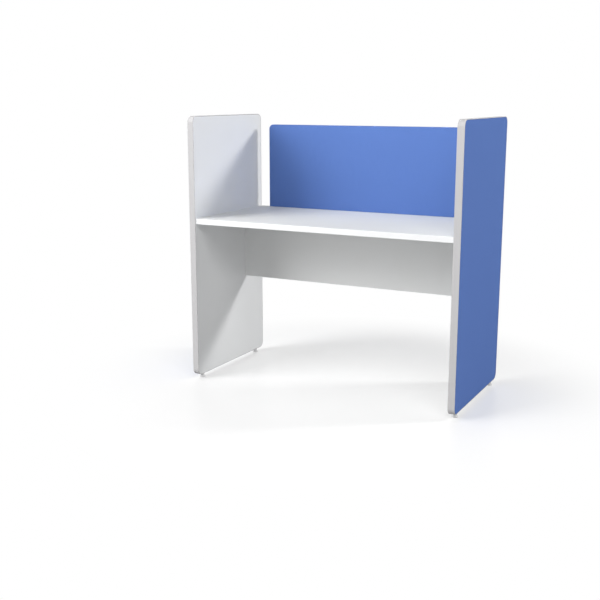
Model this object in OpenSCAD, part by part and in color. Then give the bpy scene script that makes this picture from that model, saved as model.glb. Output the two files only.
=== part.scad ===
// Cubicle workstation: a desk top, a modesty panel and a cloth screen between two tall side panels.
// Frame: +X to the right, +Y to the rear, +Z up. The origin is on the floor, under the middle.

/* [Overall] */
// Width over both side panels
overall_w = 1260; // [1000:10:1800]
// Depth of the side panels, front to rear
overall_d = 600; // [560:10:800]
// Height of the side panels above the floor
overall_h = 1200; // [1100:10:1500]

/* [Side panels] */
// Radius of the panels' rounded corners
corner_r = 30; // [22:1:80]
// Thickness of the core board
core_t = 25; // [22:1:30]
// Thickness of the blue cloth with its foam backing
cloth_t = 2; // [1:0.5:3]
// Thickness of the white laminate sheet
laminate_t = 2; // [1:0.5:3]
// Thickness of the edge strip's head
strip_t = 2; // [1.5:0.5:5]
// How far the edge strip stands proud of both faces
strip_proud = 0.5; // [0.2:0.1:1]
// Radius of the edge strip's shoulders
shoulder_r = 1.5; // [0.5:0.5:1.5]
// Thickness of the strip's tongue, which sits in a groove of the core board
tongue_t = 3; // [2:0.5:4]
// Depth of the strip's tongue
tongue_depth = 10; // [6:1:14]
// Gap between the edge strip and the face sheets
sheet_gap = 0.5; // [0.2:0.1:2]

/* [Desk top] */
// Height of the desk surface above the floor
desk_height = 750; // [700:5:780]
// Thickness of the desk top
desk_t = 25; // [22:1:30]
// Step from the front edge of the side panels' face sheets back to the desk's front edge
desk_step = 2.5; // [0.5:0.5:20]
// Thickness of the edge bands
band_t = 2; // [1:0.5:3]
// Radius of the edge bands' outer corners
band_r = 1.5; // [0.5:0.5:3]

/* [Modesty panel] */
// Height of the modesty panel
modesty_h = 305; // [240:5:400]
// Thickness of the modesty panel
modesty_t = 18; // [16:1:25]
// Distance from the side panels' rear edge forward to the modesty panel's rear face
modesty_setback = 152; // [100:2:260]

/* [Screen] */
// Height of the screen above the desk surface
screen_h = 400; // [300:10:500]
// Gap between each end of the screen and the side panel
screen_gap = 60; // [20:5:120]
// Thickness of the screen's core board
screen_core_t = 16; // [14:1:25]
// Radius of the screen's top corners
screen_r = 22; // [10:1:60]

/* [Screen brackets] */
// Width of a bracket
bracket_w = 60; // [40:5:100]
// Height of the bracket's upright leg above the desk surface
bracket_rise = 100; // [80:5:150]
// Length of the bracket's leg under the desk
bracket_reach = 60; // [50:1:70]
// Thickness of the bracket's steel
bracket_t = 3; // [2.5:0.5:4]
// Distance from the screen's end to the middle of a bracket
bracket_inset = 200; // [80:10:300]

/* [Screws] */
// Diameter of a bracket screw's shank
screw_d = 4; // [3:0.5:4.5]
// Diameter of a bracket screw's countersunk head
screw_head_d = 8; // [7:0.5:9]
// Length of a bracket screw
screw_len = 16; // [12:1:18]

/* [Cam fittings] */
// Diameter of a cam disc
cam_d = 15; // [14:0.5:20]
// Distance from the board's end to a cam disc's axis
cam_offset = 34; // [30:1:40]
// Distance from the desk's front or rear edge to its nearest cam bolt
desk_cam_inset = 70; // [50:5:100]
// Distance from the modesty panel's top or bottom edge to its nearest cam bolt
modesty_cam_inset = 60; // [40:5:80]
// Diameter of a cam bolt's head
bolt_head_d = 6.5; // [5.5:0.5:7]
// Diameter of a cam bolt's neck
bolt_neck_d = 4; // [3:0.5:4.5]
// Diameter of a cam bolt's shank
bolt_shank_d = 6.5; // [5.5:0.5:7]
// Diameter of a cam bolt's thread
bolt_thread_d = 5; // [4:0.5:5]
// Length of a cam bolt's thread
bolt_thread_len = 13; // [9:1:16]

/* [Dowels] */
// Diameter of a dowel
dowel_d = 8; // [6:1:10]
// Length of a dowel in the side panel
dowel_in_panel = 12; // [8:1:16]
// Length of a dowel in the board that it lines up
dowel_in_board = 24; // [16:1:32]
// Distance from a cam bolt to its dowel
dowel_pitch = 32; // [24:1:40]

/* [Feet] */
// Height of the side panels' bottom edge above the floor
foot_h = 20; // [16:1:30]
// Distance along the bottom edge from the end of its rounded corner to a foot's axis
foot_inset = 25; // [12:1:90]
// Diameter of a foot pad
pad_d = 26; // [22:1:30]
// Diameter of a foot stem
stem_d = 8; // [6:1:9]
// Travel of a foot below its lowest setting, screwed out
foot_travel = 15; // [8:1:20]
// Outer diameter of a threaded insert
insert_d = 12; // [11:0.5:14]
// Length of a threaded insert above the side panel's bottom edge
insert_len = 30; // [24:1:40]

/* [Hidden] */
$fn = 72;
// how far a cut runs past the surface that it opens
overrun = 1;
// gap all round a pin, dowel, bolt or disc in its bore
bore_gap = 0.05;
// gap between cloth and what it doesn't lie on, and between a cam disc and a cam bolt
free_gap = 0.3;
// a quarter turn and the turn of a cam disc between locked and open
quarter_turn = 90;
cam_turn = 180;

// strip tongue's groove
groove_gap = 0.2;
// cam disc: its pocket's roof, how far the bolt's head and shank stay off it, and the screwdriver recess
cam_roof_t = 1.5;
head_off_axis = 1.5;
bolt_head_t = 3;
shank_gap = 2;
recess_len = 9;
recess_w = 1.4;
recess_depth = 2.5;
cam_chamfer = 0.4;
// countersunk head's height and recess
screw_head_h = 2.4;
screw_recess_len = 4.4;
screw_recess_w = 0.9;
screw_recess_depth = 1.6;
// bracket's holes: a column up the upright leg, and a row across the leg under the desk
upright_hole_shares = [0.28, 0.75];
row_hole_shares = [-0.28, 0.28];
row_place_share = 0.6;
bracket_corner_r = 8;
// dowel ends
dowel_chamfer = 1;
// foot: base rim, cone, spanner hexagon, the insert's flange, and the stem's hold when screwed out
pad_rim_h = 4;
pad_chamfer = 1;
pad_cone_h = 5;
hex_d = 17;
pad_floor_t = 5;
flange_d = 20;
flange_t = 2;
stem_hold = 15;
stem_end_room = 3;
stem_chamfer = 0.8;

// colours
cloth_blue = [0.35, 0.47, 0.73];
laminate_white = [0.93, 0.93, 0.94];
strip_grey = [0.81, 0.80, 0.81];
board_tan = [0.76, 0.64, 0.47];
zinc_grey = [0.70, 0.71, 0.73];
dowel_tan = [0.82, 0.68, 0.48];
pad_grey = [0.80, 0.80, 0.80];

// side panel: thickness, height and the planes of its layers, measured along X from the middle
panel_t = core_t + cloth_t + laminate_t + strip_proud + strip_proud;
panel_h = overall_h - foot_h;
panel_mid_x = overall_w / 2 - panel_t / 2;
panel_mid_z = foot_h + panel_h / 2;
face_x = overall_w / 2 - panel_t + strip_proud;
core_mid_x = face_x + laminate_t + core_t / 2;
cloth_mid_x = overall_w / 2 - strip_proud - cloth_t / 2;
laminate_mid_x = face_x + laminate_t / 2;
sheet_inset = strip_t + sheet_gap;

// desk top: its front and rear edges lie alike inside the strips
desk_half_y = overall_d / 2 - sheet_inset - desk_step;
desk_under_z = desk_height - desk_t;
desk_mid_z = desk_height - desk_t / 2;
desk_board_half_y = desk_half_y - band_t;

// modesty panel: it keeps its distance from the rear, where the screen brackets reach under the desk
modesty_rear_y = overall_d / 2 - modesty_setback;
modesty_front_y = modesty_rear_y - modesty_t;
modesty_mid_y = modesty_rear_y - modesty_t / 2;
modesty_low_z = desk_under_z - modesty_h;

// screen: its rear face is flush with the desk's rear edge
screen_w = face_x + face_x - screen_gap - screen_gap;
screen_t = screen_core_t + cloth_t + cloth_t;
screen_rear_y = desk_half_y;
screen_front_y = screen_rear_y - screen_t;
bracket_x = screen_w / 2 - bracket_inset;
row_y = screen_rear_y - bracket_reach * row_place_share;

// cam fittings: the pocket lets the bolt's head turn in it, and the slot lets its neck through
pocket_r = norm([head_off_axis + bolt_head_t, bolt_head_d / 2]) + free_gap;
pocket_h = bolt_head_d + free_gap + free_gap;
bolt_reach = cam_offset - head_off_axis;
shank_len = cam_offset - cam_d / 2 - shank_gap;
desk_cam_h = desk_t / 2 + pocket_h / 2 + cam_roof_t;
modesty_cam_h = modesty_t / 2 + pocket_h / 2 + cam_roof_t;
desk_bolt_y = desk_half_y - desk_cam_inset;
modesty_bolt_zs = [desk_under_z - modesty_cam_inset, modesty_low_z + modesty_cam_inset];
modesty_dowel_zs = [modesty_bolt_zs[0] - dowel_pitch, modesty_bolt_zs[1] + dowel_pitch];

// where bolts and dowels enter a side panel's inner face, as [y, z]
bolt_places = [
    [-desk_bolt_y, desk_mid_z],
    [desk_bolt_y, desk_mid_z],
    [modesty_mid_y, modesty_bolt_zs[0]],
    [modesty_mid_y, modesty_bolt_zs[1]]
];
dowel_places = [
    [-desk_bolt_y + dowel_pitch, desk_mid_z],
    [desk_bolt_y - dowel_pitch, desk_mid_z],
    [modesty_mid_y, modesty_dowel_zs[0]],
    [modesty_mid_y, modesty_dowel_zs[1]]
];
desk_fixings = [0, 1];
modesty_fixings = [2, 3];
all_fixings = [0, 1, 2, 3];

// feet: they stand under the straight run of the bottom edge
foot_y = overall_d / 2 - corner_r - foot_inset;
pad_top_z = foot_h - flange_t;
stem_top_z = foot_h + foot_travel + stem_hold;

// children on the right side, or mirrored to the left side
module on_side(side) {
    mirror([side == "left" ? 1 : 0, 0, 0]) children();
}

// lays a drawing of the YZ plane upright, with its extrusion along X
module upright() {
    rotate([quarter_turn, 0, quarter_turn]) children();
}

// flat rectangle about the origin with four round corners
module rounded_outline(len, height, r) {
    square([len - r - r, height], center = true);
    square([len, height - r - r], center = true);
    for (x = [-1, 1], y = [-1, 1])
        translate([x * (len / 2 - r), y * (height / 2 - r)]) circle(r = r);
}

// upright slab of a side panel, inset all round from the panel's outline
module panel_slab(mid_x, thickness, inset) {
    translate([mid_x, 0, panel_mid_z]) upright()
        linear_extrude(height = thickness, center = true)
            rounded_outline(overall_d - inset - inset, panel_h - inset - inset, corner_r - inset);
}

// ring of rectangular section in a side panel, its outside inset from the panel's outline
module panel_ring(mid_x, thickness, inset, depth) {
    difference() {
        panel_slab(mid_x, thickness, inset);
        panel_slab(mid_x, thickness + overrun, inset + depth);
    }
}

// holes in a side panel for the bolts and dowels that enter its inner face
module fixing_holes() {
    for (place = bolt_places)
        translate([face_x - overrun, place[0], place[1]]) rotate([0, quarter_turn, 0])
            cylinder(h = overrun + bolt_thread_len + free_gap, r = bolt_thread_d / 2 + bore_gap);
    for (place = dowel_places)
        translate([face_x - overrun, place[0], place[1]]) rotate([0, quarter_turn, 0])
            cylinder(h = overrun + dowel_in_panel + free_gap, r = dowel_d / 2 + bore_gap);
}

// bores in a side panel's bottom edge for the inserts, with room above them for the stems
module foot_bores() {
    for (y = [-foot_y, foot_y]) translate([panel_mid_x, y, foot_h]) {
        translate([0, 0, -overrun])
            cylinder(h = overrun + insert_len + free_gap, r = insert_d / 2 + bore_gap);
        cylinder(h = stem_top_z - foot_h + stem_end_room, r = stem_d / 2 + free_gap);
    }
}

module panel_core(side) {
    color(board_tan) on_side(side) difference() {
        panel_slab(core_mid_x, core_t, strip_t);
        panel_ring(panel_mid_x, tongue_t + groove_gap + groove_gap, strip_t - overrun,
            tongue_depth + groove_gap + overrun);
        fixing_holes();
        foot_bores();
    }
}

// section of the edge strip: x runs outward from the core board's edge, y along the thickness
module strip_section() {
    intersection() {
        translate([0, -panel_t / 2]) square([strip_t, panel_t]);
        union() {
            translate([0, shoulder_r - panel_t / 2]) square([strip_t, panel_t - shoulder_r - shoulder_r]);
            translate([-shoulder_r, -panel_t / 2]) square([strip_t, panel_t]);
            for (end = [-1, 1])
                translate([strip_t - shoulder_r, end * (panel_t / 2 - shoulder_r)]) circle(r = shoulder_r);
        }
    }
    translate([-tongue_depth, -tongue_t / 2]) square([tongue_depth + strip_t / 2, tongue_t]);
}

// the edge strip runs along four straight sides and round four corners
module edge_strip(side) {
    color(strip_grey) on_side(side) difference() {
        translate([panel_mid_x, 0, panel_mid_z]) upright() for (turn = [0 : 3]) {
            reach = turn % 2 == 0 ? overall_d / 2 : panel_h / 2;
            run = turn % 2 == 0 ? panel_h / 2 : overall_d / 2;
            rotate([0, 0, turn * quarter_turn]) {
                rotate([quarter_turn, 0, 0])
                    linear_extrude(height = run + run - corner_r - corner_r, center = true)
                        translate([reach - strip_t, 0]) strip_section();
                translate([reach - corner_r, run - corner_r]) rotate_extrude(angle = quarter_turn)
                    translate([corner_r - strip_t, 0]) strip_section();
            }
        }
        foot_bores();
    }
}

module outer_cloth(side) {
    color(cloth_blue) on_side(side) panel_slab(cloth_mid_x, cloth_t, sheet_inset);
}

module inner_laminate(side) {
    color(laminate_white) on_side(side) difference() {
        panel_slab(laminate_mid_x, laminate_t, sheet_inset);
        fixing_holes();
    }
}

// bores in a board's end for its bolts and dowels, by their places in the side panel
module end_bores(fixings) {
    for (side = ["left", "right"], i = fixings) on_side(side) {
        translate([face_x + overrun, bolt_places[i][0], bolt_places[i][1]]) rotate([0, -quarter_turn, 0])
            cylinder(h = overrun + cam_offset, r = bolt_shank_d / 2 + free_gap);
        translate([face_x + overrun, dowel_places[i][0], dowel_places[i][1]]) rotate([0, -quarter_turn, 0])
            cylinder(h = overrun + dowel_in_board + free_gap, r = dowel_d / 2 + bore_gap);
    }
}

// frame of a cam disc in the desk: its mouth at the underside, the bolt coming along +X of this frame
module at_desk_cam(side, end_y) {
    translate([(side == "left" ? -1 : 1) * (face_x - cam_offset), end_y * desk_bolt_y, desk_under_z])
        rotate([0, 0, side == "left" ? quarter_turn + quarter_turn : 0]) children();
}

// frame of a cam disc in the modesty panel: its mouth at the rear face
module at_modesty_cam(side, level) {
    translate([(side == "left" ? -1 : 1) * (face_x - cam_offset), modesty_rear_y, modesty_bolt_zs[level]])
        rotate([quarter_turn, 0, 0])
            rotate([0, 0, side == "left" ? quarter_turn + quarter_turn : 0]) children();
}

// bore of a cam disc, open at its mouth
module cam_bore(depth) {
    translate([0, 0, -overrun]) cylinder(h = overrun + depth + free_gap, r = cam_d / 2 + bore_gap);
}

module screw_shape(grow) {
    cylinder(h = screw_len + grow, r = screw_d / 2 + grow);
    cylinder(h = screw_head_h, r1 = screw_head_d / 2 + grow, r2 = screw_d / 2 + grow);
}

// places children at each bracket screw, its head's face at z = 0 and its point along +Z of this frame
module at_bracket_screws(side) {
    on_side(side) {
        for (share = upright_hole_shares)
            translate([bracket_x, screen_rear_y + bracket_t, desk_height + share * bracket_rise])
                rotate([quarter_turn, 0, 0]) children();
        for (share = row_hole_shares)
            translate([bracket_x + share * bracket_w, row_y, desk_under_z - bracket_t]) children();
    }
}

// clearance for all bracket screws, with the countersinks opened outward
module bracket_screw_holes(side) {
    at_bracket_screws(side) {
        screw_shape(bore_gap);
        translate([0, 0, -overrun]) cylinder(h = overrun + bore_gap, r = screw_head_d / 2 + bore_gap);
    }
}

module desk_top() {
    color(laminate_white) difference() {
        translate([-face_x, -desk_board_half_y, desk_under_z])
            cube([face_x + face_x, desk_board_half_y + desk_board_half_y, desk_t]);
        end_bores(desk_fixings);
        for (side = ["left", "right"], end_y = [-1, 1]) at_desk_cam(side, end_y) cam_bore(desk_cam_h);
        for (side = ["left", "right"]) bracket_screw_holes(side);
    }
}

// section of an edge band about the board's mid-plane: x runs outward from the board, y along its thickness
module band_section(board_t) {
    r = min(band_r, band_t);
    intersection() {
        translate([0, -board_t / 2]) square([band_t, board_t]);
        union() {
            translate([0, r - board_t / 2]) square([band_t, board_t - r - r]);
            translate([-r, -board_t / 2]) square([band_t, board_t]);
            for (end = [-1, 1]) translate([band_t - r, end * (board_t / 2 - r)]) circle(r = r);
        }
    }
}

module desk_band(end_y) {
    color(laminate_white) mirror([0, end_y < 0 ? 1 : 0, 0]) translate([0, desk_board_half_y, desk_mid_z])
        upright() linear_extrude(height = face_x + face_x, center = true) band_section(desk_t);
}

module modesty_panel() {
    color(laminate_white) difference() {
        translate([-face_x, modesty_front_y, modesty_low_z + band_t])
            cube([face_x + face_x, modesty_t, modesty_h - band_t]);
        end_bores(modesty_fixings);
        for (side = ["left", "right"], level = [0, 1]) at_modesty_cam(side, level) cam_bore(modesty_cam_h);
    }
}

module modesty_bottom_band() {
    color(laminate_white) translate([0, modesty_mid_y, modesty_low_z + band_t]) rotate([-quarter_turn, 0, 0])
        upright() linear_extrude(height = face_x + face_x, center = true) band_section(modesty_t);
}

// upright sheet of the screen between two planes along Y, with round top corners
module screen_sheet(front_y, rear_y, inset, low_z) {
    half_w = screen_w / 2 - inset;
    top_z = desk_height + screen_h - inset;
    r = screen_r - inset;
    translate([0, rear_y, 0]) rotate([quarter_turn, 0, 0]) linear_extrude(height = rear_y - front_y) {
        translate([-half_w, low_z]) square([half_w + half_w, top_z - r - low_z]);
        translate([r - half_w, low_z]) square([half_w + half_w - r - r, top_z - low_z]);
        for (x = [-1, 1]) translate([x * (half_w - r), top_z - r]) circle(r = r);
    }
}

module screen_core() {
    color(board_tan) difference() {
        screen_sheet(screen_front_y + cloth_t, screen_rear_y - cloth_t, cloth_t + free_gap, desk_height);
        for (side = ["left", "right"]) bracket_screw_holes(side);
    }
}

// the front cloth covers the face and wraps the top and both ends
module screen_front_cloth() {
    color(cloth_blue) difference() {
        screen_sheet(screen_front_y, screen_rear_y - cloth_t, 0, desk_height + free_gap);
        screen_sheet(screen_front_y + cloth_t, screen_rear_y, cloth_t, desk_height - overrun);
    }
}

module screen_rear_cloth() {
    color(cloth_blue) difference() {
        screen_sheet(screen_rear_y - cloth_t, screen_rear_y, 0, desk_height + free_gap);
        for (side = ["left", "right"]) bracket_screw_holes(side);
    }
}

// flat leg of a bracket, its two far corners rounded, drawn from the bend along +Y of the drawing
module bracket_leg(len) {
    translate([-bracket_w / 2, 0]) square([bracket_w, len - bracket_corner_r]);
    translate([bracket_corner_r - bracket_w / 2, 0])
        square([bracket_w - bracket_corner_r - bracket_corner_r, len]);
    for (x = [-1, 1])
        translate([x * (bracket_w / 2 - bracket_corner_r), len - bracket_corner_r])
            circle(r = bracket_corner_r);
}

// an upright leg behind the screen and a flat leg under the desk
module screen_bracket(side) {
    color(zinc_grey) difference() {
        on_side(side) translate([bracket_x, screen_rear_y, desk_under_z - bracket_t]) {
            translate([0, bracket_t, 0]) rotate([quarter_turn, 0, 0])
                linear_extrude(height = bracket_t) bracket_leg(bracket_t + desk_t + bracket_rise);
            translate([0, bracket_t, 0]) mirror([0, 1, 0])
                linear_extrude(height = bracket_t) bracket_leg(bracket_t + bracket_reach);
        }
        bracket_screw_holes(side);
    }
}

// two crossed slots in a fastener's face, for a screwdriver
module cross_recess(len, w, depth) {
    for (turn = [0, quarter_turn]) rotate([0, 0, turn])
        translate([-len / 2, -w / 2, -overrun]) cube([len, w, overrun + depth]);
}

module bracket_screws() {
    color(zinc_grey) for (side = ["left", "right"]) at_bracket_screws(side) difference() {
        screw_shape(0);
        cross_recess(screw_recess_len, screw_recess_w, screw_recess_depth);
    }
}

// thread in the side panel, shank in the board's end, neck and head in the cam disc
module cam_bolt() {
    rotate([0, quarter_turn, 0]) cylinder(h = bolt_thread_len, r = bolt_thread_d / 2);
    rotate([0, -quarter_turn, 0]) {
        cylinder(h = shank_len, r = bolt_shank_d / 2);
        cylinder(h = bolt_reach, r = bolt_neck_d / 2);
        translate([0, 0, bolt_reach - bolt_head_t]) cylinder(h = bolt_head_t, r = bolt_head_d / 2);
    }
}

module cam_bolts() {
    color(zinc_grey) for (side = ["left", "right"], i = all_fixings) on_side(side)
        translate([face_x, bolt_places[i][0], bolt_places[i][1]]) cam_bolt();
}

module dowel() {
    len = dowel_in_panel + dowel_in_board;
    translate([-dowel_in_board, 0, 0]) rotate([0, quarter_turn, 0]) {
        translate([0, 0, dowel_chamfer]) cylinder(h = len - dowel_chamfer - dowel_chamfer, r = dowel_d / 2);
        cylinder(h = dowel_chamfer, r1 = dowel_d / 2 - dowel_chamfer, r2 = dowel_d / 2);
        translate([0, 0, len - dowel_chamfer])
            cylinder(h = dowel_chamfer, r1 = dowel_d / 2, r2 = dowel_d / 2 - dowel_chamfer);
    }
}

module dowels() {
    color(dowel_tan) for (side = ["left", "right"], i = all_fixings) on_side(side)
        translate([face_x, dowel_places[i][0], dowel_places[i][1]]) dowel();
}

// a cam disc: the bolt's head turns in its pocket, the neck passes its slot, the head enters by the wide bore
module cam_disc(depth, bolt_depth) {
    color(zinc_grey) difference() {
        union() {
            cylinder(h = cam_chamfer, r1 = cam_d / 2 - cam_chamfer, r2 = cam_d / 2);
            translate([0, 0, cam_chamfer]) cylinder(h = depth - cam_chamfer, r = cam_d / 2);
        }
        translate([0, 0, bolt_depth]) {
            translate([0, 0, -pocket_h / 2]) cylinder(h = pocket_h, r = pocket_r);
            rotate_extrude(angle = cam_turn) translate([pocket_r / 2, -bolt_neck_d / 2 - free_gap])
                square([cam_d / 2, bolt_neck_d + free_gap + free_gap]);
            rotate([0, quarter_turn, 0]) cylinder(h = cam_d, r = bolt_neck_d / 2 + free_gap);
            rotate([0, -quarter_turn, 0]) cylinder(h = cam_d, r = bolt_head_d / 2 + free_gap);
        }
        cross_recess(recess_len, recess_w, recess_depth);
    }
}

module desk_cam(side, end_y) {
    at_desk_cam(side, end_y) cam_disc(desk_cam_h, desk_t / 2);
}

module modesty_cam(side, level) {
    at_modesty_cam(side, level) cam_disc(modesty_cam_h, modesty_t / 2);
}

// a sleeve in the core board with a flange under the edge strip
module foot_inserts() {
    color(zinc_grey) for (side = ["left", "right"], y = [-foot_y, foot_y])
        on_side(side) translate([panel_mid_x, y, foot_h]) difference() {
            union() {
                cylinder(h = insert_len, r = insert_d / 2);
                translate([0, 0, -flange_t]) cylinder(h = flange_t, r = flange_d / 2);
            }
            translate([0, 0, -flange_t - overrun])
                cylinder(h = overrun + flange_t + insert_len + overrun, r = stem_d / 2 + bore_gap);
        }
}

// a round base with a cone and a spanner hexagon, moulded round the stem
module foot_pad(side, end_y) {
    color(pad_grey) on_side(side) translate([panel_mid_x, end_y * foot_y, 0]) difference() {
        union() {
            cylinder(h = pad_chamfer, r1 = pad_d / 2 - pad_chamfer, r2 = pad_d / 2);
            translate([0, 0, pad_chamfer]) cylinder(h = pad_rim_h - pad_chamfer, r = pad_d / 2);
            translate([0, 0, pad_rim_h])
                cylinder(h = pad_cone_h, r1 = pad_d / 2 - pad_chamfer, r2 = hex_d / 2);
            translate([0, 0, pad_rim_h]) cylinder(h = pad_top_z - pad_rim_h, r = hex_d / 2, $fn = 6);
        }
        translate([0, 0, pad_floor_t]) cylinder(h = pad_top_z, r = stem_d / 2 + bore_gap);
    }
}

module foot_stem(side, end_y) {
    color(zinc_grey) on_side(side) translate([panel_mid_x, end_y * foot_y, pad_floor_t]) {
        cylinder(h = stem_top_z - stem_chamfer - pad_floor_t, r = stem_d / 2);
        translate([0, 0, stem_top_z - stem_chamfer - pad_floor_t])
            cylinder(h = stem_chamfer, r1 = stem_d / 2, r2 = stem_d / 2 - stem_chamfer);
    }
}

panel_core("left");  // left_panel_core
edge_strip("left");  // left_edge_strip
outer_cloth("left");  // left_outer_cloth
inner_laminate("left");  // left_inner_laminate
panel_core("right");  // right_panel_core
edge_strip("right");  // right_edge_strip
outer_cloth("right");  // right_outer_cloth
inner_laminate("right");  // right_inner_laminate
desk_top();
desk_band(-1);  // desk_front_band
desk_band(1);  // desk_rear_band
modesty_panel();
modesty_bottom_band();
screen_core();
screen_front_cloth();
screen_rear_cloth();
screen_bracket("left");  // left_screen_bracket
screen_bracket("right");  // right_screen_bracket
bracket_screws();
cam_bolts();
dowels();
desk_cam("left", -1);  // desk_cam_left_front
desk_cam("left", 1);  // desk_cam_left_rear
desk_cam("right", -1);  // desk_cam_right_front
desk_cam("right", 1);  // desk_cam_right_rear
modesty_cam("left", 0);  // modesty_cam_left_top
modesty_cam("left", 1);  // modesty_cam_left_low
modesty_cam("right", 0);  // modesty_cam_right_top
modesty_cam("right", 1);  // modesty_cam_right_low
foot_inserts();
foot_pad("left", -1);  // left_front_foot_pad
foot_stem("left", -1);  // left_front_foot_stem
foot_pad("left", 1);  // left_rear_foot_pad
foot_stem("left", 1);  // left_rear_foot_stem
foot_pad("right", -1);  // right_front_foot_pad
foot_stem("right", -1);  // right_front_foot_stem
foot_pad("right", 1);  // right_rear_foot_pad
foot_stem("right", 1);  // right_rear_foot_stem
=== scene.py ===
# %% [markdown]
# # A cubicle workstation
# The real object is a small work place: two tall side panels stand on levelling feet, and they
# carry a white desk top, a modesty panel under it and a low cloth screen on its rear edge.
# Its hard pieces come in as finished solids, so this script gives each of them a finish and leaves
# its place alone. Only two things are added to their shapes: the cloth is made again here, because
# a solid can't show how cloth rolls over an edge, and a modifier breaks the brackets' sharp edges.

# %% Load the solids
import math

import bmesh
import bpy
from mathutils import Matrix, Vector
from mathutils.geometry import delaunay_2d_cdt


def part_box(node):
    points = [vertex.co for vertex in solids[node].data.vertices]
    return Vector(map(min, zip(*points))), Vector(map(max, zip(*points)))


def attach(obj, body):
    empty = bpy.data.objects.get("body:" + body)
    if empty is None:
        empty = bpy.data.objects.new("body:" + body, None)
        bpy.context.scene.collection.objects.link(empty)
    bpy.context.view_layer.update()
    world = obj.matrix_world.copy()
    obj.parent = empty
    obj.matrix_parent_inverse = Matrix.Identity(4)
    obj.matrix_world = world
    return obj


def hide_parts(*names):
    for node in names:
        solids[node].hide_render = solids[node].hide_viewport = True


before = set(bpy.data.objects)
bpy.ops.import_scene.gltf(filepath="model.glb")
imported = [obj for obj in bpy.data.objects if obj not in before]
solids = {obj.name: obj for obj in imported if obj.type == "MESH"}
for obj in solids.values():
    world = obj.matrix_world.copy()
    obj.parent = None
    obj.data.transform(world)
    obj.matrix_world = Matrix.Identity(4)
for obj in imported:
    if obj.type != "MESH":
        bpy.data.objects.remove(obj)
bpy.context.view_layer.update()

millimetre = 0.001

# %% [markdown]
# ## Camera
# A product photographer stands well back with a longer lens, so that upright edges stay nearly
# upright. The lens, the place and the tilt here were worked out from the straight edges of such a
# picture: in a square frame, a 56 mm lens from the front right, a little above the desk's height.

# %% Set up the camera
camera_place = Vector((1.7297, -3.7686, 1.2871))
camera_turn = 0.4791
camera_dip = 0.2154
lens_mm = 56.03

camera_data = bpy.data.cameras.new("camera")
camera_data.lens = lens_mm
camera_data.sensor_width = 36
camera = bpy.data.objects.new("camera", camera_data)
camera.location = camera_place
camera.rotation_euler = (math.pi / 2 - camera_dip, 0, camera_turn)
bpy.context.scene.collection.objects.link(camera)
bpy.context.scene.camera = camera
print("camera", round(camera_place.length, 2), "m from the middle of the floor under the object")

# %% [markdown]
# ## Helpers for finishes
# A finish is a Principled shader with a few texture nodes in front of it. Two small helpers keep
# the recipes short: one adds a node and fills or links its sockets, and the other starts a finish.
# Colours are written as they look on a screen, from 0 to 255, and turned into the linear values
# that a shader wants.

# %% Helpers for colours and nodes
def linear_colour(red, green, blue):
    """A colour as seen on a screen, from 0 to 255, as the linear values of a shader."""
    shares = [value / 255 for value in (red, green, blue)]
    linear = [s / 12.92 if s <= 0.04045 else ((s + 0.055) / 1.055) ** 2.4 for s in shares]
    return (*linear, 1)


def add_node(finish, kind, sockets=None, **settings):
    """Adds a node. sockets gives each named or numbered input a value or another node's output."""
    node = finish.node_tree.nodes.new("ShaderNode" + kind)
    for name, value in settings.items():
        setattr(node, name, value)
    for name, value in (sockets or {}).items():
        if isinstance(value, bpy.types.NodeSocket):
            finish.node_tree.links.new(value, node.inputs[name])
        else:
            node.inputs[name].default_value = value
    return node


def start_finish(name, colour, roughness, **sockets):
    """A Principled finish, and its shader. sockets are further inputs, with _ for each space."""
    finish = bpy.data.materials.new(name)
    finish.use_nodes = True
    shader = finish.node_tree.nodes["Principled BSDF"]
    shader.inputs["Base Color"].default_value = colour
    shader.inputs["Roughness"].default_value = roughness
    for socket, value in sockets.items():
        shader.inputs[socket.replace("_", " ")].default_value = value
    return finish, shader


print("mid grey on a screen is", round(linear_colour(128, 128, 128)[0], 3), "in a shader")

# %% [markdown]
# A real surface differs from a flat colour in three ways: its tone drifts, its gloss is uneven and
# it isn't quite smooth. Each of these has a helper that takes a value from 0 to 1, mostly noise.
# So one noise can drive two of them together, as wiping or die lines do on a real piece.

# %% Helpers for texture and gloss
def arithmetic(finish, operation, first, second=0.0):
    """The output of a Math node."""
    return add_node(finish, "Math", {0: first, 1: second}, operation=operation).outputs[0]


def noise_in(finish, place, size, detail=2.0, roughness=0.5):
    """Noise whose spots are about size metres across, as a value about 0.5."""
    sockets = {"Vector": place, "Scale": 1 / size, "Detail": detail, "Roughness": roughness}
    return add_node(finish, "TexNoise", sockets).outputs["Fac"]


def stretched_place(finish, scale):
    """The object's own coordinates, each multiplied by its share of scale."""
    own = add_node(finish, "TexCoord").outputs["Object"]
    return add_node(finish, "Mapping", {"Vector": own, "Scale": scale}).outputs["Vector"]


def spread(finish, value, low, high):
    """A value from 0 to 1, moved to the range from low to high."""
    sockets = {"Value": value, "To Min": low, "To Max": high}
    return add_node(finish, "MapRange", sockets).outputs["Result"]


def raise_surface(finish, shader, height, depth):
    """Bump of the given depth in metres, from a height between 0 and 1."""
    bump = add_node(finish, "Bump", {"Height": height, "Distance": depth, "Strength": 1.0})
    finish.node_tree.links.new(bump.outputs["Normal"], shader.inputs["Normal"])


def tint(finish, shader, value, low_colour, high_colour):
    """The base colour runs from low_colour to high_colour with a value from 0 to 1."""
    mix = add_node(finish, "Mix", {0: value, 6: low_colour, 7: high_colour}, data_type="RGBA")
    finish.node_tree.links.new(mix.outputs[2], shader.inputs["Base Color"])


def vary_roughness(finish, shader, value, low, high):
    """The roughness runs from low to high with a value from 0 to 1."""
    finish.node_tree.links.new(spread(finish, value, low, high), shader.inputs["Roughness"])


print("noise with spots of 1 mm has a scale of", round(1 / millimetre))

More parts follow.
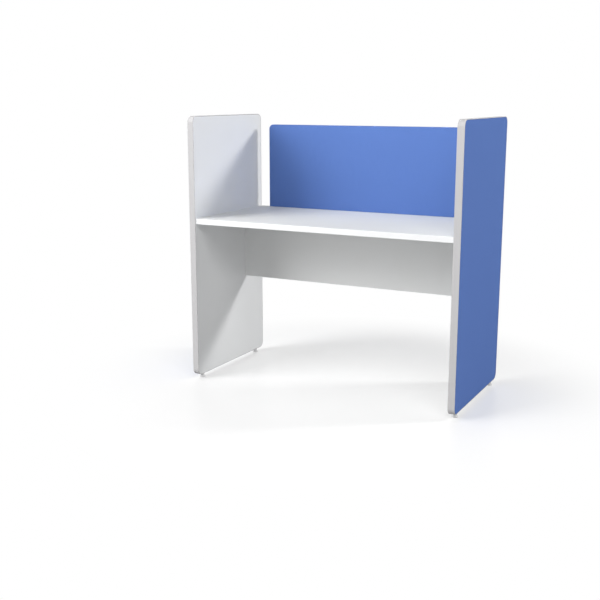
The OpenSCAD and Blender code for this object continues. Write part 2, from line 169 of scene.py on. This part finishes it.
# %% [markdown]
# ## White laminate, boards and edge bands
# The inner faces, the desk top and the modesty panel are faced in a melamine sheet. Under a lamp
# it isn't a mirror: a fine pearl texture, pressed in by the plate, breaks the reflection, and
# years of wiping leave faint cloudy differences in gloss. The bands on the edges are extruded
# plastic, glossier, with the faintest lines along their length.

# %% Finish the laminate
pearl_size = 0.9 * millimetre
pearl_depth = 0.03 * millimetre
wipe_size = 160 * millimetre


def laminate_finish(name, colour, warm_colour, smooth, rough):
    """Satin melamine: pearl texture, cloudy gloss, and a tone that drifts a little."""
    finish, shader = start_finish(name, colour, rough, Specular_IOR_Level=0.3)
    own = add_node(finish, "TexCoord").outputs["Object"]
    pearl = noise_in(finish, own, pearl_size, detail=1.0)
    clouds = noise_in(finish, own, wipe_size, detail=4.0)
    raise_surface(finish, shader, pearl, pearl_depth)
    vary_roughness(finish, shader, clouds, smooth, rough)
    tint(finish, shader, clouds, warm_colour, colour)
    return finish


white_laminate = laminate_finish(
    "white_laminate", linear_colour(233, 234, 235), linear_colour(230, 231, 231), 0.34, 0.5)
white_board = laminate_finish(
    "white_board", linear_colour(236, 237, 237), linear_colour(233, 234, 233), 0.55, 0.68)
print("finishes:", white_laminate.name, white_board.name)

# %% Finish the edge bands
line_stretch = 0.004
band_line_size = 0.5 * millimetre
band_line_depth = 0.008 * millimetre


def band_finish(name, colour, cross_scale):
    """Extruded plastic: fine lines along the band, at right angles to cross_scale's largest axes."""
    finish, shader = start_finish(name, colour, 0.28, Specular_IOR_Level=0.5)
    lines = noise_in(finish, stretched_place(finish, cross_scale), band_line_size, detail=1.0)
    raise_surface(finish, shader, lines, band_line_depth)
    vary_roughness(finish, shader, lines, 0.24, 0.34)
    return finish


white_band = band_finish("white_band", linear_colour(243, 244, 245), (line_stretch, 1, 1))
print("finish:", white_band.name)

# %% [markdown]
# ## Edge strip
# A pale grey plastic strip runs all round each side panel. It is extruded in one length and bent
# round the corners, so its fine die lines run along it everywhere: across the strip is always
# the X axis here, and noise that changes fast along X and hardly at all along Y and Z draws them.

# %% Finish the edge strip
die_line_size = 0.7 * millimetre
die_line_depth = 0.02 * millimetre
scuff_size = 30 * millimetre


def strip_finish():
    """Satin extruded plastic with die lines and a little scuffing."""
    finish, shader = start_finish(
        "edge_strip", linear_colour(197, 196, 197), 0.62, Specular_IOR_Level=0.2)
    across = stretched_place(finish, (1, line_stretch, line_stretch))
    lines = noise_in(finish, across, die_line_size)
    own = add_node(finish, "TexCoord").outputs["Object"]
    scuffs = noise_in(finish, own, scuff_size, detail=5.0, roughness=0.6)
    raise_surface(finish, shader, lines, die_line_depth)
    vary_roughness(finish, shader, scuffs, 0.54, 0.7)
    tint(finish, shader, lines, linear_colour(193, 192, 193), linear_colour(201, 200, 201))
    return finish


edge_strip = strip_finish()
print("finish:", edge_strip.name)

# %% [markdown]
# ## Blue cloth
# Screens like this are covered in a plain woven wool or polyester, blue all through. Close up it
# is a grid of small bumps: a warp thread over a weft thread, then a weft over a warp. From two
# sine waves and a chequer the same grid comes out, with each bump longer along its own thread.
# The pattern lies in the cloth's own plan, a UV map in metres, so it goes round edges with it.
# A power well below one flattens a wave's top, which makes a bump long. Spun yarn is never quite
# even, so noise drawn out along the warp darkens some threads and lightens others. The colour also
# follows the weave's relief, so the hollows between the threads are darker: that is painted shade.
# Sheen stands for the short fibres that catch the light at a glancing angle.

# %% Weave the cloth
thread_pitch = 1.3 * millimetre
weave_depth = 0.16 * millimetre
long_share = 0.35
yarn_size = 2.6 * millimetre
yarn_squeeze = 0.06
yarn_tones = (0.8, 1.2)


def cloth_finish():
    """Plain woven cloth in the plan of the piece it is on, with painted shade in the weave's hollows.
    """
    finish, shader = start_finish(
        "blue_cloth", linear_colour(88, 118, 184), 0.9, Specular_IOR_Level=0.1,
        Sheen_Weight=0.12, Sheen_Roughness=0.5, Sheen_Tint=linear_colour(130, 160, 225))
    plan = add_node(finish, "UVMap", uv_map="cloth_plan").outputs["UV"]
    apart = add_node(finish, "SeparateXYZ", {0: plan})
    waves = []
    for along in (0, 1):
        turn = arithmetic(finish, "MULTIPLY", apart.outputs[along], math.pi / thread_pitch)
        waves.append(arithmetic(finish, "ABSOLUTE", arithmetic(finish, "SINE", turn)))
    flat = [arithmetic(finish, "POWER", wave, long_share) for wave in waves]
    warp = arithmetic(finish, "MULTIPLY", waves[0], flat[1])
    weft = arithmetic(finish, "MULTIPLY", flat[0], waves[1])
    squares = add_node(finish, "TexChecker", {"Vector": plan, "Scale": 1 / thread_pitch})
    sockets = {0: squares.outputs["Fac"], 2: warp, 3: weft}
    relief = add_node(finish, "Mix", sockets, data_type="FLOAT").outputs[0]
    raise_surface(finish, shader, relief, weave_depth)

    along_warp = add_node(finish, "Mapping", {"Vector": plan, "Scale": (1, yarn_squeeze, 1)})
    uneven = noise_in(finish, along_warp.outputs[0], yarn_size, detail=3.0)
    # painted shade: the colour follows the relief, so the hollows between threads are darker
    tone = arithmetic(finish, "MULTIPLY", relief, spread(finish, uneven, *yarn_tones))
    tint(finish, shader, tone, linear_colour(60, 86, 149), linear_colour(109, 142, 210))
    return finish


blue_cloth = cloth_finish()
print("threads in a hand's width:", round(0.1 / thread_pitch))

# %% [markdown]
# ## Metal
# The fittings are zinc plated steel or zinc castings. Little of them shows, but a part is looked
# at from below and taken apart, so each has a finish of its own. Plating is cloudy in gloss and
# finely grained. The brackets are bent from rolled sheet, so they also have lines that run along
# both legs.

# %% Finish the plated fittings
plating_tone = linear_colour(186, 188, 192)
cloud_size = 12 * millimetre
grain_depth = 0.02 * millimetre


def zinc_finish(name, colour, grain, low, high):
    """Plated metal: cloudy gloss and a fine grain of the given size in metres."""
    finish, shader = start_finish(name, colour, 0.4, Metallic=1.0)
    own = add_node(finish, "TexCoord").outputs["Object"]
    clouds = noise_in(finish, own, cloud_size, detail=3.0)
    fine = noise_in(finish, own, grain, detail=2.0)
    raise_surface(finish, shader, fine, grain_depth)
    vary_roughness(finish, shader, clouds, low, high)
    return finish


zinc = zinc_finish("zinc", plating_tone, 0.5 * millimetre, 0.25, 0.45)
foot_steel = zinc_finish("foot_steel", plating_tone, 0.3 * millimetre, 0.2, 0.38)
print("finishes:", zinc.name, foot_steel.name)

# %% Finish the brackets
rolling_line_size = 0.5 * millimetre
rolling_line_depth = 0.05 * millimetre
bath_cloud_size = 9 * millimetre


def sheet_steel_finish():
    """Plated sheet: rolling lines along both legs, and cloudy gloss from the plating bath."""
    finish, shader = start_finish(
        "bracket_steel", linear_colour(176, 178, 183), 0.4, Metallic=1.0)
    across = stretched_place(finish, (1, 2 * line_stretch, 2 * line_stretch))
    lines = noise_in(finish, across, rolling_line_size, detail=4.0, roughness=0.65)
    own = add_node(finish, "TexCoord").outputs["Object"]
    clouds = noise_in(finish, own, bath_cloud_size, detail=4.0)
    raise_surface(finish, shader, lines, rolling_line_depth)
    vary_roughness(finish, shader, clouds, 0.22, 0.48)
    tint(finish, shader, lines, linear_colour(146, 148, 154), linear_colour(206, 208, 211))
    return finish


bracket_steel = sheet_steel_finish()
print("finish:", bracket_steel.name)

# %% [markdown]
# ## Wood and plastic
# The dowels are fluted beech, the core boards are pressed wood chips, and the feet are moulded
# plastic. Beech is noise that is drawn out along the rod. A board's chips are the cells of a
# Voronoi texture, and each cell takes one tone from noise at its middle. The spark texture that a
# mould leaves on plastic is plain fine noise.

# %% Finish the wood
fleck_size = 0.8 * millimetre
fleck_depth = 0.08 * millimetre
chip_size = 3 * millimetre
chip_depth = 0.2 * millimetre
chip_tone_size = 2 * millimetre


def beech_finish():
    """Beech dowel rod: flecks and flutes that run along it."""
    finish, shader = start_finish("beech", linear_colour(214, 178, 130), 0.6)
    along = stretched_place(finish, (0.08, 1, 1))
    flecks = noise_in(finish, along, fleck_size, detail=3.0)
    raise_surface(finish, shader, flecks, fleck_depth)
    tint(finish, shader, flecks, linear_colour(196, 156, 108), linear_colour(226, 194, 148))
    return finish


def particle_board_finish():
    """Pressed wood chips, a few millimetres long, of mixed tones."""
    finish, shader = start_finish("core_board", linear_colour(190, 160, 118), 0.8)
    own = add_node(finish, "TexCoord").outputs["Object"]
    chips = add_node(finish, "TexVoronoi", {"Vector": own, "Scale": 1 / chip_size})
    tone = noise_in(finish, chips.outputs["Position"], chip_tone_size, detail=0.0)
    raise_surface(finish, shader, chips.outputs["Distance"], chip_depth)
    tint(finish, shader, tone, linear_colour(150, 118, 80), linear_colour(214, 186, 142))
    return finish


beech = beech_finish()
core_board = particle_board_finish()
print("finishes:", beech.name, core_board.name)

# %% Finish the feet
spark_size = 0.35 * millimetre
spark_depth = 0.03 * millimetre


def foot_plastic_finish():
    """Moulded plastic with a fine spark texture."""
    finish, shader = start_finish("foot_plastic", linear_colour(222, 222, 222), 0.5)
    own = add_node(finish, "TexCoord").outputs["Object"]
    spark = noise_in(finish, own, spark_size, detail=2.0)
    raise_surface(finish, shader, spark, spark_depth)
    vary_roughness(finish, shader, spark, 0.42, 0.6)
    return finish


foot_plastic = foot_plastic_finish()
print("finish:", foot_plastic.name)

# %% [markdown]
# ## Put the finishes on the solids
# Each solid came in with a plain material that carries the name of its slot. The finishes above
# have the slots' names too, so a table by name is enough to swap them.

# %% Swap the materials
finishes = {
    "white_laminate": white_laminate, "white_board": white_board, "white_band": white_band,
    "edge_strip": edge_strip, "blue_cloth": blue_cloth, "zinc": zinc,
    "bracket_steel": bracket_steel, "foot_steel": foot_steel, "beech": beech,
    "core_board": core_board, "foot_plastic": foot_plastic,
}
for solid in solids.values():
    for place in solid.material_slots:
        place.material = finishes[place.material.name.split(".")[0]]
print("dressed solids:", len(solids))

# %% [markdown]
# ## Broken edges on the brackets
# A bracket cut from sheet steel is tumbled, which rounds its edges a little, and a round edge is
# what catches a bright line of light. A bevel modifier adds that without touching the solid: it
# rounds only edges that turn by more than sharp_turn, so the bend itself stays as it is.

# %% Break the brackets' sharp edges
sharp_turn = math.radians(50)
broken_edge = 0.4 * millimetre
for side in ("left", "right"):
    bevel = solids[side + "_screen_bracket"].modifiers.new("broken edges", "BEVEL")
    bevel.width = broken_edge
    bevel.segments = 2
    bevel.limit_method = "ANGLE"
    bevel.angle_limit = sharp_turn
    bevel.harden_normals = True
print("edges broken by", broken_edge, "m")

# %% [markdown]
# ## Cloth on the side panels
# The outer face of each side panel is a sheet of foam-backed cloth, glued to the board and cut
# just short of the edge strip. Its surface is nearly flat, but at the rim it rolls down to the
# board, which leaves a fine groove beside the strip. A plain box can't show that. Here the rim
# is made of rings: outlines of the sheet, each drawn in a little further and lifted a little
# higher than the one before. Quads join them, so that light runs evenly along the roll, and only
# the flat middle is cut into triangles.

# %% Draw rings round a sheet
plan_step = 40 * millimetre
corner_steps = 12


def side_points(start, end):
    """The points between two ends of a straight side, without the ends."""
    count = max(round((end - start).length / plan_step), 1)
    return [start.lerp(end, i / count) for i in range(1, count)]


def ring_points(half_w, half_h, radii, inset):
    """Points round a rectangle, drawn in by inset. Its top and bottom corners have the two radii."""
    points = []
    for side_x, side_y, start in ((1, -1, -90), (1, 1, 0), (-1, 1, 90), (-1, -1, 180)):
        radius = radii[0] if side_y > 0 else radii[1]
        middle = Vector((side_x * (half_w - radius), side_y * (half_h - radius)))
        turns = [math.radians(start + 90 * i / corner_steps) for i in range(corner_steps + 1)]
        bend = [middle + Vector((math.cos(t), math.sin(t))) * (radius - inset) for t in turns]
        if points:
            points += side_points(points[-1], bend[0])
        points += bend
    return points + side_points(points[-1], points[0])


ring_test = ring_points(0.3, 0.2, (0.02, 0.01), 0.002)
print("a ring round a sheet of 600 by 400 mm has", len(ring_test), "points")

# %% [markdown]
# A flat outline could be filled with a single face of many sides, but such a face is cut up
# blindly by whatever draws it. A Delaunay triangulation over a grid of extra points gives even
# triangles. The grid keeps clear of the rim, so that no sliver of a triangle lies beside it.

# %% Fill the flat middle
rim_clearance = plan_step / 3
same_point = 1e-7


def inside_points(outline, clear):
    """A grid of points inside a convex outline, all of them further than clear from it."""
    low_x = min(p.x for p in outline)
    low_y = min(p.y for p in outline)
    columns = round((max(p.x for p in outline) - low_x) / plan_step)
    rows = round((max(p.y for p in outline) - low_y) / plan_step)
    sides = [(a, (b - a).normalized()) for a, b in zip(outline, outline[1:] + outline[:1])]
    grid = [Vector((low_x + i * plan_step, low_y + j * plan_step))
            for i in range(1, columns) for j in range(1, rows)]
    return [p for p in grid if min(along.cross(p - a) for a, along in sides) > clear]


def fill_flat(mesh, plan, outline, border, place):
    """Triangles inside a convex outline, anticlockwise in the plan. border holds its vertices."""
    given = outline + inside_points(outline, rim_clearance)
    made = delaunay_2d_cdt(given, [], [list(range(len(outline)))], 1, same_point)
    points, triangles, sources = made[0], made[2], made[3]
    corners = []
    for point, source in zip(points, sources):
        known = source and source[0] < len(outline)
        corners.append(border[source[0]] if known else mesh.verts.new(place(point)))
    for triangle in triangles:
        face = mesh.faces.new([corners[i] for i in triangle])
        for loop, i in zip(face.loops, triangle):
            loop[plan].uv = points[i]


def join_rows(mesh, plan, rows, spots, closed):
    """Quads between rows of vertices. spots holds each vertex's place in the plan."""
    for row, next_row, spot, next_spot in zip(rows, rows[1:], spots, spots[1:]):
        count = len(row)
        for i in range(count if closed else count - 1):
            j = (i + 1) % count
            face = mesh.faces.new((row[i], row[j], next_row[j], next_row[i]))
            for loop, uv in zip(face.loops, (spot[i], spot[j], next_spot[j], next_spot[i])):
                loop[plan].uv = uv


print("grid points inside that ring:", len(inside_points(ring_test, rim_clearance)))

# %% [markdown]
# The rings and the flat middle make the side of a sheet that shows. Its back is one flat face
# against the board, so the piece is closed and as thick as the real cloth with its foam.

# %% Turn a sheet into a thin closed piece
roll_shares = (0, 0.06, 0.16, 0.32, 0.54, 0.78, 1)
rim_height = 0.25


def rolled_height(share):
    """Height of a sheet, from 0 to 1, at a share of the roll's width: a quarter round on a rim."""
    return rim_height + (1 - rim_height) * math.sqrt(1 - (1 - share) ** 2)


def cloth_slab(name, half_w, half_h, radii, thickness, roll, place):
    """A sheet with a flat back and a rim that rolls down. place turns (x, y, height) to the frame."""
    mesh = bmesh.new()
    plan = mesh.loops.layers.uv.new("cloth_plan")
    rings = [ring_points(half_w, half_h, radii, 0)]
    heights = [0]
    for share in roll_shares:
        rings.append(ring_points(half_w, half_h, radii, roll * share))
        heights.append(thickness * rolled_height(share))
    rows = [[mesh.verts.new(place(p.x, p.y, height)) for p in ring]
            for ring, height in zip(rings, heights)]
    join_rows(mesh, plan, rows, rings, closed=True)
    fill_flat(mesh, plan, rings[-1], rows[-1], lambda p: place(p.x, p.y, thickness))
    mesh.faces.new(list(reversed(rows[0])))
    bmesh.ops.recalc_face_normals(mesh, faces=mesh.faces)
    return finish_cloth(name, mesh)


def finish_cloth(name, mesh):
    """The mesh as a smooth object in blue cloth, on the body that stands still."""
    data = bpy.data.meshes.new(name)
    mesh.to_mesh(data)
    mesh.free()
    data.shade_smooth()
    data.set_sharp_from_angle(angle=sharp_turn)
    data.materials.append(blue_cloth)
    cloth = bpy.data.objects.new(name, data)
    bpy.context.scene.collection.objects.link(cloth)
    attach(cloth, "workstation")
    return cloth


print("height halfway along the roll:", round(rolled_height(0.5), 3), "of the sheet's thickness")

# %% Cover the side panels
panel_roll = 1.3 * millimetre
panel_corner = 30 * millimetre
for side, sign in (("left", -1), ("right", 1)):
    low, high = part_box(side + "_outer_cloth")
    middle = (low + high) / 2
    half = (high - low) / 2
    panel_radius = panel_corner - (low.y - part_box(side + "_edge_strip")[0].y)
    board_x = min(abs(low.x), abs(high.x)) * sign
    cover = cloth_slab(
        side + "_panel_cloth", half.y, half.z, (panel_radius, panel_radius), 2 * half.x, panel_roll,
        lambda x, y, height: (board_x + sign * height, middle.y + sign * x, middle.z + y))
    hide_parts(side + "_outer_cloth")
    print(cover.name, "has", len(cover.data.polygons), "faces")

# %% [markdown]
# ## Cloth on the screen
# The screen is a board in a cloth cover. The front cloth comes over the top and both ends with a
# soft round edge and meets the rear cloth in a seam at the back, and a small hem rolls under its
# foot. It is drawn as an open sheet that follows the board's outline and then goes round its
# edge, and is thickened inwards.

# %% Measure the screen
edge_round = 2.2 * millimetre
cloth_thickness = 1.2 * millimetre
seam_tuck = 1.2 * millimetre
screen_radius = 22 * millimetre
hem_roll = 0.9 * millimetre
hem_heights = [height * millimetre for height in (0, 0.3, 0.8, 1.6)]
front_low, front_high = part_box("screen_front_cloth")
rear_low, rear_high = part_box("screen_rear_cloth")
print("screen:", round(front_high.x - front_low.x, 3), "by", round(front_high.z - front_low.z, 3), "m")


# %% Follow the outline and the edge
edge_steps = 6
# how far the seam turns in, falls short of the rear face and uses cloth, as shares of seam_tuck
seam_turn = ((0, 1, 0), (0.35, 0.3, 0.8), (1, 0, 1.6))


def screen_outline(inset):
    """Points up the left end, over the top and down the right end, drawn in by inset."""
    half_w = (front_high.x - front_low.x) / 2
    shoulder = Vector((half_w - screen_radius, front_high.z - screen_radius))
    turns = [math.radians(90 * i / corner_steps) for i in range(corner_steps + 1)]
    right = [shoulder + Vector((math.sin(t), math.cos(t))) * (screen_radius - inset) for t in turns]
    foot = [Vector((half_w - inset, front_low.z + height)) for height in reversed(hem_heights)]
    right += side_points(right[-1], foot[0]) + foot
    left = [Vector((-p.x, p.y)) for p in reversed(right)]
    return left + side_points(left[-1], right[0]) + right


def wrap_section():
    """How the front cloth goes round the edge: (inset, depth behind the face, cloth used)."""
    section = []
    for i in range(edge_steps + 1):
        turn = math.radians(90 * i / edge_steps)
        section.append((
            edge_round * (1 - math.sin(turn)), edge_round * (1 - math.cos(turn)), edge_round * turn))
    seam_depth = front_high.y - front_low.y
    used = section[-1][2] + seam_depth - seam_tuck - edge_round
    for inward, short, more in seam_turn:
        section.append((inward * seam_tuck, seam_depth - short * seam_tuck, used + more * seam_tuck))
    return section


print("points along the outline:", len(screen_outline(0)), "and round the edge:", len(wrap_section()))


# %% Build the front cloth
def hem_depth(height):
    """How far the cloth has rolled back at a height above its foot."""
    share = 1 - min(max(height / hem_heights[-1], 0), 1)
    return hem_roll * (1 - math.sqrt(1 - share ** 2))


def screen_front_cloth():
    """The face with its hem, and the strip that wraps the top and the ends."""
    mesh = bmesh.new()
    plan = mesh.loops.layers.uv.new("cloth_plan")

    def on_face(p):
        return (p.x, front_low.y + hem_depth(p.y - front_low.z), p.y)

    section = wrap_section()
    outline = screen_outline(edge_round)
    rim = [mesh.verts.new(on_face(p)) for p in outline]
    hem_count = len(hem_heights)
    hem_spots = []
    hem_rows = []
    for i in range(hem_count):
        between = side_points(outline[i], outline[-1 - i])
        hem_spots.append([outline[i]] + between + [outline[-1 - i]])
        hem_rows.append([rim[i]] + [mesh.verts.new(on_face(p)) for p in between] + [rim[-1 - i]])
    join_rows(mesh, plan, hem_rows, hem_spots, closed=False)

    above_hem = slice(hem_count, len(outline) - hem_count)
    border_spots = hem_spots[-1] + list(reversed(outline[above_hem]))
    border = hem_rows[-1] + list(reversed(rim[above_hem]))
    fill_flat(mesh, plan, border_spots, border, on_face)

    outer = screen_outline(0)
    away = [(b - a).normalized() for a, b in zip(outline, outer)]
    rows = [rim]
    spots = [outline]
    for inset, depth, used in section[1:]:
        rows.append([mesh.verts.new((p.x, front_low.y + depth, p.y)) for p in screen_outline(inset)])
        spots.append([p + out * used for p, out in zip(outline, away)])
    join_rows(mesh, plan, rows, spots, closed=False)
    bmesh.ops.recalc_face_normals(mesh, faces=mesh.faces)
    return mesh


front_cover = finish_cloth("screen_front_cover", screen_front_cloth())
thicken = front_cover.modifiers.new("thickness", "SOLIDIFY")
thicken.thickness = cloth_thickness
thicken.offset = -1
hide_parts("screen_front_cloth")
print(front_cover.name, "has", len(front_cover.data.polygons), "faces")

# %% Cover the rear of the screen
rear_half = (rear_high - rear_low) / 2
rear_middle = (rear_high + rear_low) / 2
rear_inset = 0.4 * millimetre
rear_roll = 1.8 * millimetre
rear_radii = (screen_radius, 3 * millimetre)
rear_cover = cloth_slab(
    "screen_rear_cover", rear_half.x - rear_inset, rear_half.z, rear_radii, 2 * rear_half.y, rear_roll,
    lambda x, y, height: (-x, rear_low.y + height, rear_middle.z + y))
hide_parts("screen_rear_cloth")
print(rear_cover.name, "has", len(rear_cover.data.polygons), "faces")

# %% [markdown]
# ## Floor and background
# The object stands in a white studio on a pale satin floor. The floor near it keeps its shadow
# and a faint reflection, and further away it fades into a white background. A floor that is white
# for every ray would throw too much light up at the object, so the Light Path node makes two
# floors of it: a pale grey one that light bounces off, and a white one that the camera, a
# reflection or a view through glass shows. The world round it is split in the same way.

# %% Lay the floor
floor_reach = 30
fade_start = 0.65
fade_end = 1.35
white_share_near = 0.35
floor_tone = linear_colour(155, 155, 156)
floor_tone_seen = linear_colour(253, 253, 253)


def seen_ray(finish):
    """1 for a ray that shows a background: from the camera, in a reflection or through glass."""
    ray = add_node(finish, "LightPath").outputs
    camera_or_glossy = arithmetic(finish, "MAXIMUM", ray["Is Camera Ray"], ray["Is Glossy Ray"])
    return arithmetic(finish, "MAXIMUM", camera_or_glossy, ray["Is Transmission Ray"])


def floor_finish():
    """Pale satin floor that turns plain white away from the object, for rays that show it."""
    finish, shader = start_finish("studio_floor", floor_tone, 0.32, Specular_IOR_Level=0.3)
    seen = seen_ray(finish)
    tint(finish, shader, seen, floor_tone, floor_tone_seen)
    own = add_node(finish, "TexCoord").outputs["Object"]
    away = add_node(finish, "VectorMath", {0: own}, operation="LENGTH").outputs["Value"]
    sockets = {
        "Value": away, "From Min": fade_start, "From Max": fade_end, "To Min": white_share_near}
    fade = add_node(finish, "MapRange", sockets, interpolation_type="SMOOTHSTEP").outputs["Result"]
    white = add_node(finish, "Emission", {"Color": (1, 1, 1, 1), "Strength": 1.0})
    mix = add_node(finish, "MixShader", {
        0: arithmetic(finish, "MULTIPLY", fade, seen),
        1: shader.outputs["BSDF"], 2: white.outputs["Emission"]})
    output = finish.node_tree.nodes["Material Output"]
    finish.node_tree.links.new(mix.outputs["Shader"], output.inputs["Surface"])
    return finish


floor_data = bpy.data.meshes.new("studio_floor")
floor_data.from_pydata(
    [(-floor_reach, -floor_reach, 0), (floor_reach, -floor_reach, 0),
     (floor_reach, floor_reach, 0), (-floor_reach, floor_reach, 0)], [], [(0, 1, 2, 3)])
floor_data.materials.append(floor_finish())
floor = bpy.data.objects.new("studio_floor", floor_data)
bpy.context.scene.collection.objects.link(floor)
print("floor:", 2 * floor_reach, "m square")

# %% Surround it with white
ambient_light = 0.08


def studio_world():
    """Faint even light from all round, and plain white for rays that show the background."""
    world = bpy.data.worlds.new("studio")
    world.use_nodes = True
    background = world.node_tree.nodes["Background"]
    background.inputs["Color"].default_value = (1, 1, 1, 1)
    strength = spread(world, seen_ray(world), ambient_light, 1.0)
    world.node_tree.links.new(strength, background.inputs["Strength"])
    return world


bpy.context.scene.world = studio_world()
print("light from all round:", ambient_light)

# %% [markdown]
# ## Lamps
# A studio lights white furniture from large soft sources of unequal strength, so that each white
# face gets a grey of its own. The key light comes from high on the left and lights the desk and
# all that faces the front. Lower walls of light on both sides reach in under the desk, and the
# lamps on the right light the cloth there. The rear right lamp shines over the screen, whose
# slanted shadow falls on the left panel's white face. A low lamp fills the rear. It hangs lower
# than the desk, so that no streak comes through the gaps beside the screen, and it shows in no
# reflection, because its glow would lie on the floor. The last one is a strip light behind a
# grid. Its narrow beam touches only the upper part of the screen, so that the cloth grows darker
# towards the desk.

# %% Hang the lamps
# each lamp's name, place, the point it faces, its width in metres and its power in watts
studio_lamps = (
    ("key_softbox", (-3.6, -4.33, 4.15), (0.0, 0.0, 0.9), 3.2, 202),
    ("front_left_wall_light", (-3.4, -3.9, 1.9), (0.0, 0.0, 0.9), 3.2, 105),
    ("front_right_wall_light", (3.2, -3.4, 1.6), (0.0, 0.0, 0.9), 3.0, 36),
    ("front_right_high_softbox", (2.2, -2.8, 3.4), (0.0, 0.0, 0.9), 2.0, 55),
    ("left_overhead_softbox", (-2.0, -0.6, 3.4), (0.0, 0.0, 0.7), 2.0, 33),
    ("rear_right_softbox", (5.3, 3.1, 3.1), (0.0, 0.0, 0.95), 0.9, 218),
    ("low_rear_fill", (-1.6, 5.0, 0.34), (0.0, 0.0, 0.5), 0.6, 85),
    ("screen_strip_light", (0.15, -2.4, 2.3), (0.05, 0.28, 1.2), 1.0, 0.33),
)
for name, place, aim, size, watts in studio_lamps:
    lamp_data = bpy.data.lights.new(name, "AREA")
    lamp_data.size = size
    lamp_data.energy = watts
    lamp = bpy.data.objects.new(name, lamp_data)
    lamp.location = place
    lamp.rotation_euler = (Vector(aim) - Vector(place)).to_track_quat("-Z", "Y").to_euler()
    lamp.visible_camera = False
    bpy.context.scene.collection.objects.link(lamp)
bpy.context.scene.view_settings.view_transform = "Standard"
print("lamps:", len(studio_lamps))

# %% Shape the strip light and hide the fill's glow
strip_height = 0.15
grid_spread = math.radians(18)
strip_light = bpy.data.objects["screen_strip_light"].data
strip_light.shape = "RECTANGLE"
strip_light.size_y = strip_height
strip_light.spread = grid_spread
bpy.data.objects["low_rear_fill"].visible_glossy = False
print("the strip's beam is", round(math.degrees(grid_spread)), "degrees wide")
